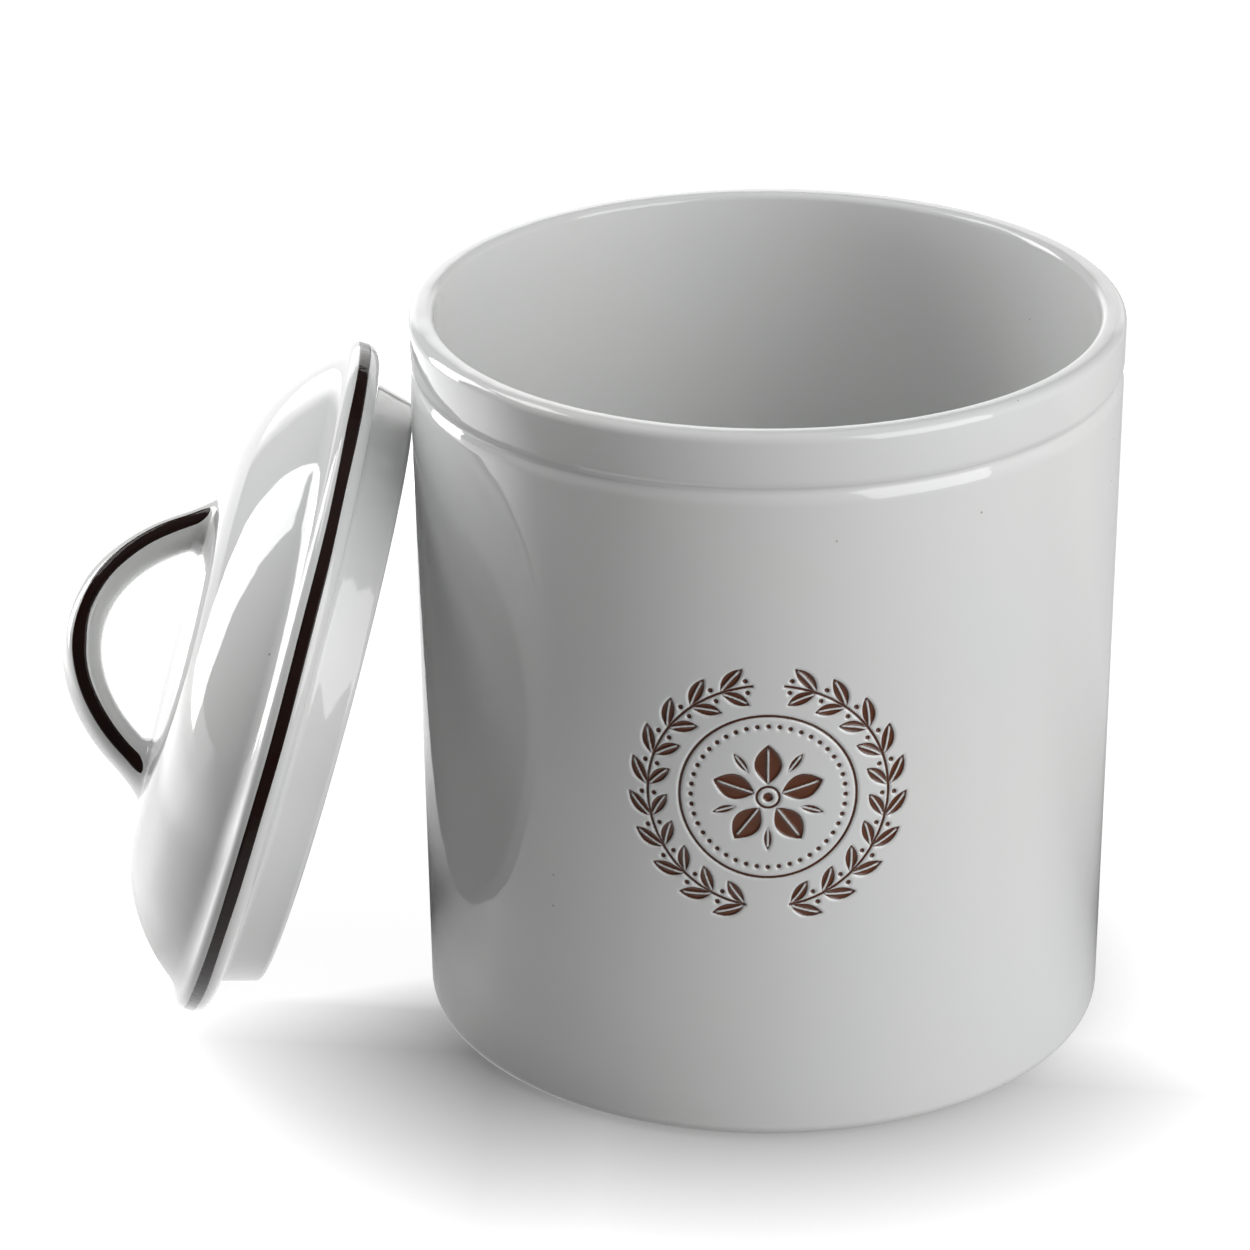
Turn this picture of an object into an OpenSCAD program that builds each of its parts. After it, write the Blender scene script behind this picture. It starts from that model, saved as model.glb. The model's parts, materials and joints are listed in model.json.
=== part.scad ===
// Potato storage bin: a straight glazed stoneware bin with a rim band, and its domed lid.
// The lid has a plug collar below, an arched strap handle above and brown painted lines.
// It is taken off, and leans on the bin's left side with its edge on the table.
// Millimetres, +Z up. The origin is the centre of the foot ring, at table height.

/* [Bin] */
// Diameter over the rim band
rim_d = 220; // [180:1:280]
// Height from the table to the top of the rim
bin_h = 233; // [180:1:320]
// How much less the radius is at the table than at the rim
draft = 2.5; // [0:0.1:5]
// Thickness of the side wall, measured across
wall = 7.8; // [6:0.1:11]
// Thickness of the floor
floor_t = 9; // [6:0.5:14]
// Rounding of the outside corner at the base
base_round = 4; // [1:0.5:7]
// Rounding of the inside corner at the floor
floor_round = 14; // [5:1:30]
// Rounding of the rim's outer edge
rim_round = 3; // [1:0.1:3.5]
// Rounding of the mouth's inner edge
mouth_round = 2.2; // [0.8:0.1:2.4]

/* [Rim band] */
// Height of the band, from the rim down to the groove
band_h = 17.2; // [10:0.2:30]
// Depth of the groove under the band
groove_d = 1.2; // [0.4:0.1:1.8]
// Width of the groove's bottom
groove_w = 1.2; // [0.6:0.1:4]
// Rounding of the band's lower edge
band_round = 4; // [1.9:0.1:6]
// Rounding of the bin's shoulder below the groove
shoulder_round = 8; // [4:0.5:16]

/* [Foot ring] */
// Height of the bare ring that the bin stands on
foot_h = 1.2; // [0.6:0.1:3]
// Width of the ring
foot_w = 8; // [4:0.5:14]
// Distance of the ring from the rounded corner
foot_inset = 1.5; // [0.5:0.1:5]
// How far the underside is drawn up inside the ring
kick = 1.5; // [0.5:0.1:3]

/* [Lid dome] */
// How far the flange's edge lies inside the rim's, on the radius
flange_inset = 0.5; // [0:0.1:2]
// Thickness of the flange above the middle of its edge
over_t = 4.8; // [4.2:0.1:6.5]
// Thickness of the flange below the middle of its edge
under_t = 5.7; // [4.2:0.1:7]
// Rounding of the flange's two edges
edge_round = 4; // [2.5:0.1:4.2]
// Height of the dome above the middle of the flange's edge
dome_h = 33.7; // [28:0.1:45]
// Radius of the dome's shoulder, seen from the side
shoulder_r = 61; // [50:1:72]
// Height of the flat crown above the shoulder
crown_h = 2.2; // [1:0.1:4]
// Radius of the hollow where the dome runs out into the flange
flare_r = 12; // [4:0.5:16]
// Angle to which the flange's edge is rounded before the hollow begins
flare_turn = 74; // [65:1:90]
// Thickness of the dome
lid_wall = 6; // [4:0.1:8]

/* [Collar] */
// Clearance between the collar and the mouth, on the radius
collar_gap = 4; // [1.5:0.1:7]
// Depth of the collar below the flange
collar_h = 14; // [8:0.2:24]
// Narrowing of the collar's outside towards its lower edge
collar_taper = 2.5; // [0:0.1:4]
// Thickness of the collar at its lower edge
collar_t = 5; // [4:0.1:8]
// Rounding of the collar's lower edge
collar_round = 2; // [0.8:0.1:2]

/* [Handle] */
// Half the span of the arch, at the middle of the strap
handle_a = 48; // [40:0.2:56]
// Height of the arch above its own centre
handle_b = 66.4; // [58:0.2:80]
// How far the arch's centre lies below the middle of the flange's edge
handle_sink = 4.2; // [0:0.2:10]
// How far the arch sits to one side of the lid's axis
handle_shift = 0.8; // [-2:0.1:2]
// Thickness of the strap
strap_t = 12.4; // [8:0.1:15]
// Width of the strap across the arch
strap_w = 24; // [16:0.5:32]
// Height over which the strap runs out into the dome
root_h = 7; // [5:0.5:10]
// How far the strap spreads at the dome
root_flare = 2.6; // [0.5:0.1:4]
// Seam between the strap and the dome
root_gap = 0.05; // [0.03:0.01:0.2]
// Turn of the handle about the lid's axis, in degrees
handle_turn = 33.4; // [0:0.2:90]

/* [Painted lines] */
// Width of the line round the flange's edge
line_w = 3.8; // [2:0.1:5]
// Thickness of the painted lines
line_t = 0.4; // [0.2:0.05:0.5]

/* [Lid place] */
// Where the lid is drawn
lid_place = "leaning"; // [leaning, seated]
// Lean of the lid from upright, in degrees
lean = 16.7; // [8:0.1:30]
// Turn of the leaning lid about the vertical, in degrees
lid_turn = 1.9; // [-8:0.1:8]
// Sideways place of the leaning lid's middle
lid_side = 3; // [-8:0.1:8]
// Clearance between the leaning lid and the bin's side
rest_gap = 0.35; // [0.3:0.05:1]
// Clearance between the seated flange and the rim
seat_gap = 0.3; // [0.1:0.05:1]

/* [Hidden] */
$fn = 128;
glaze = "#f3f2ee";
bare_clay = "#d9cdb8";
brown = "#2c1a15";

// Steps of an arc, from its angle
function steps(a0, a1) = max(3, ceil(abs(a1 - a0) / 9));
// Points of an arc about [x, z], from angle a0 to a1
function arc(x, z, r, a0, a1, n = 0) =
    let (k = n > 0 ? n : steps(a0, a1))
    [for (i = [0:k]) let (a = a0 + (a1 - a0) * i / k) [x + r * cos(a), z + r * sin(a)]];

// ---- Bin ----
function out_r(z) = rim_d / 2 - draft * (1 - z / bin_h);
mouth_r = rim_d / 2 - wall;
floor_top = foot_h + kick + floor_t;
foot_out = out_r(0) - base_round - foot_inset;
foot_in = foot_out - foot_w;
groove_top = bin_h - band_h;
groove_bottom = groove_top - groove_w;
band_angle = acos(1 - groove_d / band_round);
shoulder_angle = acos(1 - groove_d / shoulder_round);
band_z = groove_top + band_round * sin(band_angle);
shoulder_z = groove_bottom - shoulder_round * sin(shoulder_angle);

function bin_outside() = concat(
    [[0, foot_h + kick], [foot_in - kick, foot_h + kick], [foot_in, foot_h]],
    arc(out_r(foot_h) - base_round, foot_h + base_round, base_round, -90, 0),
    arc(out_r(shoulder_z) - shoulder_round, shoulder_z, shoulder_round, 0, shoulder_angle),
    arc(out_r(band_z) - band_round, band_z, band_round, -band_angle, 0),
    arc(rim_d / 2 - rim_round, bin_h - rim_round, rim_round, 0, 90)
);
function bin_inside() =
    let (z = floor_top + floor_round)
    concat(
        arc(mouth_r + mouth_round, bin_h - mouth_round, mouth_round, 90, 180),
        arc(out_r(z) - wall - floor_round, z, floor_round, 0, -90),
        [[0, floor_top]]
    );

module bin_body() {
    color(glaze)
        rotate_extrude()
            polygon(concat(bin_outside(), bin_inside()));
}

// The unglazed ring that the bin stands on
module bin_foot_ring() {
    color(bare_clay)
        rotate_extrude()
            translate([foot_in, 0])
                square([foot_w, foot_h]);
}

// ---- Lid, in its own frame: its axis is Z, and the middle of the flange's edge is at 0 ----
flange_r = rim_d / 2 - flange_inset;
collar_r = mouth_r - collar_gap;
collar_low_r = collar_r - collar_taper;
bore_r = collar_low_r - collar_t;
collar_low_z = -under_t - collar_h;
land_r = flange_r - edge_round;
// The hollow flare runs on from the edge's rounding and touches the arc of the dome's shoulder
flare_cr = land_r + (edge_round + flare_r) * cos(flare_turn);
flare_cz = over_t - edge_round + (edge_round + flare_r) * sin(flare_turn);
shoulder_cz = dome_h - crown_h - shoulder_r;
shoulder_cr = flare_cr - sqrt(pow(shoulder_r + flare_r, 2) - pow(flare_cz - shoulder_cz, 2));
flare_angle = atan2(flare_cz - shoulder_cz, flare_cr - shoulder_cr);
// The crown is a wide arc about the axis that runs on from the shoulder
crown_r = (pow(shoulder_cr, 2) + pow(crown_h + shoulder_r, 2) - pow(shoulder_r, 2)) / (2 * crown_h);
crown_cz = dome_h - crown_r;
crown_angle = atan2(shoulder_cz - crown_cz, shoulder_cr);
crown_edge_r = crown_r * cos(crown_angle);
bore_angle = acos((bore_r - shoulder_cr) / (shoulder_r - lid_wall));

// Height of the dome's outside at radius r
function dome_z(r) = r < crown_edge_r
    ? crown_cz + sqrt(pow(crown_r, 2) - pow(r, 2))
    : shoulder_cz + sqrt(pow(shoulder_r, 2) - pow(r - shoulder_cr, 2));

function dome_outside() = concat(
    arc(land_r, edge_round - under_t, edge_round, -90, 0),
    arc(land_r, over_t - edge_round, edge_round, 0, flare_turn),
    arc(flare_cr, flare_cz, flare_r, flare_turn - 180, flare_angle - 180),
    arc(shoulder_cr, shoulder_cz, shoulder_r, flare_angle, crown_angle, 24),
    arc(0, crown_cz, crown_r, crown_angle, 90, 6)
);
function dome_inside() = concat(
    arc(0, crown_cz, crown_r - lid_wall, 90, crown_angle, 6),
    arc(shoulder_cr, shoulder_cz, shoulder_r - lid_wall, crown_angle, bore_angle, 20),
    [[bore_r, -under_t]]
);

// A strip as deep as the painted line, at the middle of the flange's edge
module line_strip() {
    translate([flange_r - line_t, -line_w / 2])
        square([2 * line_t, line_w]);
}

module lid_dome() {
    color(glaze)
        place_lid()
            rotate_extrude()
                difference() {
                    polygon(concat(dome_outside(), dome_inside()));
                    line_strip();
                }
}

// The painted line fills its shallow groove flush
module edge_line() {
    color(brown)
        place_lid()
            rotate_extrude()
                intersection() {
                    polygon(concat(dome_outside(), dome_inside()));
                    line_strip();
                }
}

// The ring below the flange that drops into the mouth
module lid_collar() {
    inner_round = collar_round / 2;
    color(glaze)
        place_lid()
            rotate_extrude()
                polygon(concat(
                    [[bore_r, -under_t]],
                    arc(bore_r + inner_round, collar_low_z + inner_round, inner_round, 180, 270),
                    arc(collar_low_r - collar_round, collar_low_z + collar_round, collar_round, -90, 0),
                    [[collar_r, -under_t]]
                ));
}

// ---- Handle: an oval strap swept along half an ellipse, spreading where it meets the dome ----
section_n = 30;
arch_n = 30;
root_n = 5;
oval_power = 2.3;

function unit(v) = v / norm(v);
function arch_point(a) = [handle_a * cos(a) + handle_shift, 0, handle_b * sin(a) - handle_sink];
function arch_along(a) = unit([-handle_a * sin(a), 0, handle_b * cos(a)]);
function arch_out(a) = unit([handle_b * cos(a), 0, handle_a * sin(a)]);

// Angle along the arch, from its foot on the side x, where its middle line is root_h above the dome
function start_angle(x, a = 30, n = 12) = n == 0
    ? a
    : start_angle(x, asin((dome_z(handle_a * cos(a) + x * handle_shift) + root_h + handle_sink)
                          / handle_b), n - 1);
arch_a0 = start_angle(1);
arch_a1 = 180 - start_angle(-1);

// One side of an oval that is a little squarer than an ellipse
function oval(v) = sign(v) * pow(abs(v), 2 / oval_power);
// Offset of a strap's surface point from the middle line, spread outwards by grow
function strap_offset(a, f, grow = 0) =
    arch_out(a) * oval(cos(f)) * (strap_t / 2 + grow)
    + [0, 1, 0] * oval(sin(f)) * (strap_w / 2 + grow);

// Point p carried along the strap's direction d to the dome, root_gap above it
function on_dome(p, d, t = 0, n = 10) =
    let (q = p - t * d)
    n == 0 ? q
    : on_dome(p, d, t + (q.z - dome_z(norm([q.x, q.y])) - root_gap) / d.z, n - 1);

// Root's surface point at section angle f and share s of the way to the dome, lifted by lift
function root_point(a, f, s, lift = 0, part = 1) =
    let (d = arch_along(a) * (cos(a) > 0 ? 1 : -1),
         grown = arch_point(a) + strap_offset(a, f, root_flare * s * s + lift) * part,
         full = arch_point(a) + strap_offset(a, f, root_flare) * part)
    grown - d * norm(full - on_dome(full, d)) * s;
// A ring of the root at share s, on the side a, drawn in to a part of its size
function root_ring(a, s, part = 1) =
    [for (i = [0:section_n - 1]) root_point(a, 360 * i / section_n, s, 0, part)];
function arch_ring(a) =
    [for (i = [0:section_n - 1]) arch_point(a) + strap_offset(a, 360 * i / section_n)];

// Angles of the arch's rings, closer together near the roots
function ring_angle(i) = arch_a0 + (arch_a1 - arch_a0) * (i / arch_n - sin(360 * i / arch_n) / 14);
handle_rings = concat(
    [for (k = [1:2]) root_ring(arch_a0, 1, k / 3)],
    [for (j = [root_n:-1:1]) root_ring(arch_a0, j / root_n)],
    [for (i = [0:arch_n]) arch_ring(ring_angle(i))],
    [for (j = [1:root_n]) root_ring(arch_a1, j / root_n)],
    [for (k = [2:-1:1]) root_ring(arch_a1, 1, k / 3)]
);

// Side faces between successive rings of n points, joined all round
function ring_faces(rings, n) = [
    for (j = [0:rings - 2], i = [0:n - 1])
        let (k = (i + 1) % n, p = j * n)
        each [[p + k, p + i, p + n + k], [p + n + k, p + i, p + n + i]]
];

module lid_handle() {
    n = section_n;
    count = len(handle_rings);
    middle = [for (a = [arch_a0, arch_a1])
        on_dome(arch_point(a), arch_along(a) * (cos(a) > 0 ? 1 : -1))];
    points = concat([for (ring = handle_rings) each ring], middle);
    last = (count - 1) * n;
    caps = [
        for (i = [0:n - 1])
            let (k = (i + 1) % n)
            each [[i, k, count * n], [last + k, last + i, count * n + 1]]
    ];
    color(glaze)
        place_lid()
            rotate([0, 0, handle_turn])
                polyhedron(points, concat(ring_faces(count, n), caps));
}

// Section angles of the line painted on the strap's side, from its outer edge to its inner one
line_angles = [60, 72, 84, 96];
// How many of the root's rings the line runs down at each end
line_root_n = 4;

// A ring of the line: its outside and then its inside, at arch angle a or share s of the root
function line_ring(a, side, s = 0) =
    let (at = function (f, lift) s > 0
             ? root_point(a, side * f, s, lift)
             : arch_point(a) + strap_offset(a, side * f, lift))
    concat([for (f = line_angles) at(f, line_t / 2)], [for (i = [3:-1:0]) at(line_angles[i], 0)]);

// A line painted along the strap's side, from root to root
module handle_line(side) {
    rings = concat(
        [for (j = [line_root_n:-1:1]) line_ring(arch_a0, side, j / root_n)],
        [for (i = [0:arch_n]) line_ring(ring_angle(i), side)],
        [for (j = [1:line_root_n]) line_ring(arch_a1, side, j / root_n)]
    );
    count = len(rings);
    // The far side's rings run the other way, so that its facets share the strap's diagonals
    ordered = side > 0 ? [for (i = [count - 1:-1:0]) rings[i]] : rings;
    n = 8;
    last = (count - 1) * n;
    cap = [[1, 0, 7], [6, 1, 7], [2, 1, 6], [5, 2, 6], [3, 2, 5], [4, 3, 5]];
    faces = concat(
        [for (t = ring_faces(count, n)) [t[0], t[2], t[1]]], cap,
        [for (t = cap) [last + t[2], last + t[1], last + t[0]]]
    );
    color(brown)
        place_lid()
            rotate([0, 0, handle_turn])
                polyhedron([for (ring = ordered) each ring], faces);
}

module handle_line_front() {
    handle_line(-1);
}

module handle_line_back() {
    handle_line(1);
}

// ---- Where the lid is ----
// A direction of the lid's frame, turned into the leaning pose
function leaned(p) =
    let (q = [p.x * sin(lean) - p.z * cos(lean), p.y, p.x * cos(lean) + p.z * sin(lean)])
    [q.x * cos(lid_turn) - q.y * sin(lid_turn), q.x * sin(lid_turn) + q.y * cos(lid_turn), q.z];

// The flange's lower edge stands on the table
lid_z = land_r * cos(lean) + (under_t - edge_round) * sin(lean) + edge_round;
// The collar's rounded lower edge touches the bin's side: the furthest that any point of it asks for
lid_x = min([
    for (a = [-90:3:90])
        let (p = leaned([(collar_low_r - collar_round) * cos(a),
                         (collar_low_r - collar_round) * sin(a),
                         collar_low_z + collar_round]),
             clear = out_r(lid_z + p.z) + collar_round + rest_gap)
        -p.x - sqrt(pow(clear, 2) - pow(lid_side + p.y, 2))
]);

module place_lid() {
    if (lid_place == "seated")
        translate([0, 0, bin_h + seat_gap + under_t])
            children();
    else
        translate([lid_x, lid_side, lid_z])
            rotate([0, 0, lid_turn])
                rotate([0, lean - 90, 0])
                    children();
}

bin_body();
bin_foot_ring();
lid_dome();
lid_collar();
lid_handle();
edge_line();
handle_line_front();
handle_line_back();
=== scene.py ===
# %% [markdown]
# # A stoneware storage bin and its leaning lid
#
# The real thing is two pots: a straight bin with a band round its mouth, and a domed lid that is
# taken off and leans beside it. Both are dipped in white glaze, the lid has brown painted lines,
# and an ornament is pressed into the bin's front. Here each pot is worked out as a surface with
# numpy, because a thrown or cast pot is a profile turned round an axis, which is one formula.

import json

import bpy
import numpy as np
from mathutils import Matrix, Vector

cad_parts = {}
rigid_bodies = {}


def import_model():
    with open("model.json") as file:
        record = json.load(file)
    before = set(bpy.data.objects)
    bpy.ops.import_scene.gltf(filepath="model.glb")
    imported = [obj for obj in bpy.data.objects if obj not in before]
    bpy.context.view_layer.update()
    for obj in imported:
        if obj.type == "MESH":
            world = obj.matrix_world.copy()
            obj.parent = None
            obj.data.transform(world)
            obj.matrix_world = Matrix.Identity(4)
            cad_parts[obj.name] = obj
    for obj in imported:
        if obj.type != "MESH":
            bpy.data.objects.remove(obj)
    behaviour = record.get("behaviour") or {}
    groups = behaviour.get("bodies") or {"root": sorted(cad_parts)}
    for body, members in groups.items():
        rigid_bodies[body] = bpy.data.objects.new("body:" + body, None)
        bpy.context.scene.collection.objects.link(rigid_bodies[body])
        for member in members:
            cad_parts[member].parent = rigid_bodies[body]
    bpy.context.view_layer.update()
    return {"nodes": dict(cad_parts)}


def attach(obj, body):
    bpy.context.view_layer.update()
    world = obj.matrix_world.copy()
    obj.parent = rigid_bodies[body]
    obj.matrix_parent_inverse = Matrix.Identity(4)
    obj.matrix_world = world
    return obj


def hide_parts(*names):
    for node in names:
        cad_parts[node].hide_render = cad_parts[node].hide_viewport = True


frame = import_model()

# %% [markdown]
# ## The camera
#
# A photographer stands well back from pottery and uses a long lens, so that a round mouth doesn't
# look stretched. The place and the angles were found by fitting circles of the bin to its rim,
# sides and foot. Lens and sensor give the field of view, so the picture's size isn't needed.

# %% Set up the camera
SENSOR_MM = 36
LENS_MM = 140.98
CAMERA_AT = (0, -1.4105, 0.75283)
CAMERA_RIGHT = Vector((0.999580, 0.028106, -0.007127))
CAMERA_UP = Vector((-0.004920, 0.406629, 0.913580))
FARTHEST_SEEN = 50

camera = bpy.data.objects.new("camera", bpy.data.cameras.new("camera"))
camera.data.sensor_width = SENSOR_MM
camera.data.lens = LENS_MM
camera.data.clip_end = FARTHEST_SEEN
turn = Matrix((CAMERA_RIGHT, CAMERA_UP, CAMERA_RIGHT.cross(CAMERA_UP))).transposed()
camera.matrix_world = Matrix.Translation(CAMERA_AT) @ turn.to_4x4()
bpy.context.scene.collection.objects.link(camera)
bpy.context.scene.camera = camera
print("field of view:", round(np.degrees(camera.data.angle), 2), "degrees")

# %% [markdown]
# ## From a grid of points to a mesh
#
# Every piece below is a grid: rows of points, each row a ring that closes on itself. Blender wants
# a list of points and a list of faces, so one helper makes both from the grid. Where a pot meets
# its axis, the first or last ring has no size. There a single point and a fan of triangles close
# the surface, because a ring of many points in one place shades badly.

# %% Make a closed mesh from rings


def mesh_from_rings(name, rings, cap_start, cap_end):
    """A closed mesh from an array of rings, of shape (rings, points, 3), in millimetres.

    Each point is joined to its neighbour on the ring and to the same point of the next ring.
    cap_start and cap_end are the single points that close the two ends with fans.
    """
    count, around = rings.shape[:2]
    points = np.concatenate([rings.reshape(-1, 3), [cap_start, cap_end]]) / 1000
    here = np.arange(count * around).reshape(count, around)
    ahead = np.roll(here, -1, axis=1)
    quads = np.stack([here[:-1], ahead[:-1], ahead[1:], here[1:]], axis=-1).reshape(-1, 4)
    first, last = len(points) - 2, len(points) - 1
    start_fan = np.stack([np.full(around, first), ahead[0], here[0]], axis=-1)
    end_fan = np.stack([np.full(around, last), here[-1], ahead[-1]], axis=-1)
    fans = np.concatenate([start_fan, end_fan])

    mesh = bpy.data.meshes.new(name)
    mesh.vertices.add(len(points))
    mesh.vertices.foreach_set("co", points.astype(np.float32).ravel())
    corners = np.concatenate([quads.ravel(), fans.ravel()])
    mesh.loops.add(len(corners))
    mesh.loops.foreach_set("vertex_index", corners.astype(np.int32))
    starts = np.concatenate([np.arange(len(quads)) * 4, len(quads) * 4 + np.arange(len(fans)) * 3])
    mesh.polygons.add(len(starts))
    mesh.polygons.foreach_set("loop_start", starts.astype(np.int32))
    mesh.polygons.foreach_set("use_smooth", np.ones(len(starts), bool))
    mesh.update(calc_edges=True)
    mesh.validate()
    piece = bpy.data.objects.new(name, mesh)
    bpy.context.scene.collection.objects.link(piece)
    triangles = 2 * len(quads) + len(fans)
    print(f"{name}: {len(points)} points, {triangles} triangles")
    return piece


# %% [markdown]
# ## A pot's profile
#
# A potter's rib makes rounded corners, never sharp ones, so a profile here is a chain of arcs.
# Straight walls need no points of their own: they run from the end of one arc to the start of the
# next. Long straight stretches do get extra points, so that a relief can be pressed into them.

# %% Arcs and long stretches of a profile


def arc(x, z, radius, start, end, count):
    """Points of an arc about (x, z), from angle start to angle end in degrees."""
    angle = np.radians(np.linspace(start, end, count))
    return np.stack([x + radius * np.cos(angle), z + radius * np.sin(angle)], axis=-1)


def fill_steps(profile, longest):
    """The profile with points added, so that no two neighbours lie further apart than longest."""
    gaps = np.linalg.norm(np.diff(profile, axis=0), axis=1)
    parts = np.maximum(1, np.ceil(gaps / longest)).astype(int)
    share = np.concatenate([np.arange(n) / n for n in parts] + [[0]])
    at = np.repeat(np.arange(len(parts)), parts)
    at = np.append(at, len(parts))
    after = np.minimum(at + 1, len(profile) - 1)
    return profile[at] * (1 - share[:, None]) + profile[after] * share[:, None]


def turned(profile, angles):
    """Rings of a profile (radius, height) turned round Z. Angle 0 faces -Y and 90 faces +X."""
    radius, height = profile[:, :1], profile[:, 1:]
    across = radius * np.sin(angles)
    along = -radius * np.cos(angles)
    return np.stack([across, along, np.broadcast_to(height, across.shape)], axis=-1)


# %% [markdown]
# ## The bin's sizes
#
# These are the sizes of the solid model, in millimetres. The wall leans out by a few millimetres
# from foot to rim, and the band at the mouth stands level with the wall: what shows it is the
# groove below it, with a small round on the band's edge and a wide one on the shoulder.

# %% The bin's profile
RIM_R = 110
BIN_H = 233
DRAFT = 2.5
WALL = 7.8
FOOT_H = 1.2
FOOT_RING_W = 8
FOOT_INSET = 1.5
BASE_HOLLOW = 1.5
BASE_ROUND = 4
GROOVE_TOP = 215.8
GROOVE_BOTTOM = 214.6
GROOVE_DEPTH = 1.2
BAND_ROUND = 4
SHOULDER_ROUND = 8
RIM_ROUND = 3
MOUTH_ROUND = 2.2
FLOOR_TOP = 11.7
FLOOR_ROUND = 14


def wall_radius(z):
    """Radius of the bin's outside at height z: a straight line from the table to the rim."""
    return RIM_R - DRAFT * (1 - z / BIN_H)


def outer_arc(z, radius, start, end, count):
    """An arc inside the wall line, whose side touches it at height z."""
    return arc(wall_radius(z) - radius, z, radius, start, end, count)


band_angle = np.degrees(np.arccos(1 - GROOVE_DEPTH / BAND_ROUND))
shoulder_angle = np.degrees(np.arccos(1 - GROOVE_DEPTH / SHOULDER_ROUND))
band_z = GROOVE_TOP + BAND_ROUND * np.sin(np.radians(band_angle))
shoulder_z = GROOVE_BOTTOM - SHOULDER_ROUND * np.sin(np.radians(shoulder_angle))
foot_outer_r = wall_radius(0) - BASE_ROUND - FOOT_INSET
foot_inner_r = foot_outer_r - FOOT_RING_W
base_z = FOOT_H + BASE_HOLLOW

underside = [
    [[foot_inner_r - BASE_HOLLOW, base_z], [foot_inner_r, FOOT_H], [foot_outer_r, FOOT_H]],
    arc(wall_radius(FOOT_H) - BASE_ROUND, FOOT_H + BASE_ROUND, BASE_ROUND, -90, 0, 9),
]
outside = [
    outer_arc(shoulder_z, SHOULDER_ROUND, 0, shoulder_angle, 9),
    outer_arc(band_z, BAND_ROUND, -band_angle, 0, 8),
    arc(RIM_R - RIM_ROUND, BIN_H - RIM_ROUND, RIM_ROUND, 0, 90, 9),
]
inside = [
    arc(RIM_R - WALL + MOUTH_ROUND, BIN_H - MOUTH_ROUND, MOUTH_ROUND, 90, 180, 8),
    arc(wall_radius(FLOOR_TOP + FLOOR_ROUND) - WALL - FLOOR_ROUND, FLOOR_TOP + FLOOR_ROUND,
        FLOOR_ROUND, 0, -90, 12),
]
lower_profile = np.concatenate(underside)
upper_profile = np.concatenate(outside)
inner_profile = np.concatenate(inside)
print("groove depth and band height:", GROOVE_DEPTH, round(BIN_H - GROOVE_TOP, 1))

# %% [markdown]
# ## The ornament pressed into the front
#
# The bin's front has a stamped ornament about 9 cm across, sunk nearly a millimetre into the clay
# and filled with brown. A plain wreath of leaves round a star flower stands there. A picture
# could be drawn and pasted on, but a formula is sharper: each leaf, stem and petal is a distance
# that is below zero inside the shape. One leaf is written once, and folding the plane into equal
# cells repeats it. The formula uses only numpy's functions, so that the same lines can later be
# given a material's sockets and become its colour mask.

# %% One leaf
RIB_HALF = 0.28
RIB_REACH = 0.8
RIB_SHIFT = 0.1


def leaf(x, y, length, width):
    """Distance field of a leaf along x, from 0 to length, with a fine rib left out.

    The half width is an arc, width * (1 - t * t), where t runs from -1 at the stalk to 1 at the
    tip. The rib is a narrow strip round y = 0, over the leaf's middle stretch.
    """
    t = 2 * x / length - 1
    outline = abs(y) - width * (1 - t * t)
    rib = np.minimum(RIB_HALF - abs(y), RIB_REACH - abs(t + RIB_SHIFT))
    return np.maximum(outline, rib)


print("inside a leaf, and past its tip:", leaf(5, 1, 10, 2), round(leaf(12, 0, 10, 2), 2))

# %% [markdown]
# The wreath is a round stem with leaves and berries. How far along the stem a point lies is
# counted in leaf pairs. The whole part of that number says which pair the point belongs to, and
# only the rest of it is needed to draw the pair, so ten pairs cost as much as one.

# %% The wreath
WREATH_R = 36.5
WREATH_START = 6.5
WREATH_OPEN = 11
LEAF_PAIRS = 10
LEAF_TILT = np.radians(36)
LEAF_L, LEAF_W = 9.6, 1.95
STALK = 0.6
STEM_HALF = 0.42
BERRY_ALONG, BERRY_OFF, BERRY_R = 8.3, 1.9, 0.75


def length_of(x, y):
    """Distance from the origin: the root of the sum of both squares."""
    return np.sqrt(x * x + y * y)


def wreath(u, v):
    """Distance to the wreath: a stem, and leaf pairs that climb each side from the bottom.

    A leaf's own x and y are its place along and off the stem, turned by the leaf's tilt.
    """
    climb = np.arctan2(abs(u), -1 * v) * WREATH_R
    cell = (np.pi * WREATH_R - WREATH_OPEN) / LEAF_PAIRS
    place = (climb - WREATH_START) / cell
    here = (place - np.floor(place)) * cell
    off = abs(length_of(u, v) - WREATH_R)
    x = here * np.cos(LEAF_TILT) + off * np.sin(LEAF_TILT) - STALK
    y = off * np.cos(LEAF_TILT) - here * np.sin(LEAF_TILT)
    leaves = leaf(x, y, LEAF_L, LEAF_W)
    berry = length_of(here - BERRY_ALONG, off - BERRY_OFF) - BERRY_R
    branch = np.minimum(np.minimum(leaves, off - STEM_HALF), berry)
    past_ends = np.maximum(-1 * place, place - LEAF_PAIRS)
    return np.maximum(branch, past_ends * cell)


print("on the stem's middle line:", wreath(WREATH_R, 0.0))

# %% [markdown]
# Petals and dots stand round a middle point, so for them the plane is folded like a paper star:
# each point is turned into the nearest of a number of equal sectors, and drawn there once.

# %% The flower and its rings
PETALS = 5
PETAL_FROM, PETAL_L, PETAL_W = 4.2, 13, 4.1
MARK_FROM, MARK_L, MARK_W = 10, 7.5, 1.15
EYE_R = 1.5
EYE_RING_R, EYE_RING_HALF = 3.4, 0.4
RING_R, RING_HALF = 26.6, 0.42
DOTS, DOTS_R, DOT_R = 44, 23.2, 0.72


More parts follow.
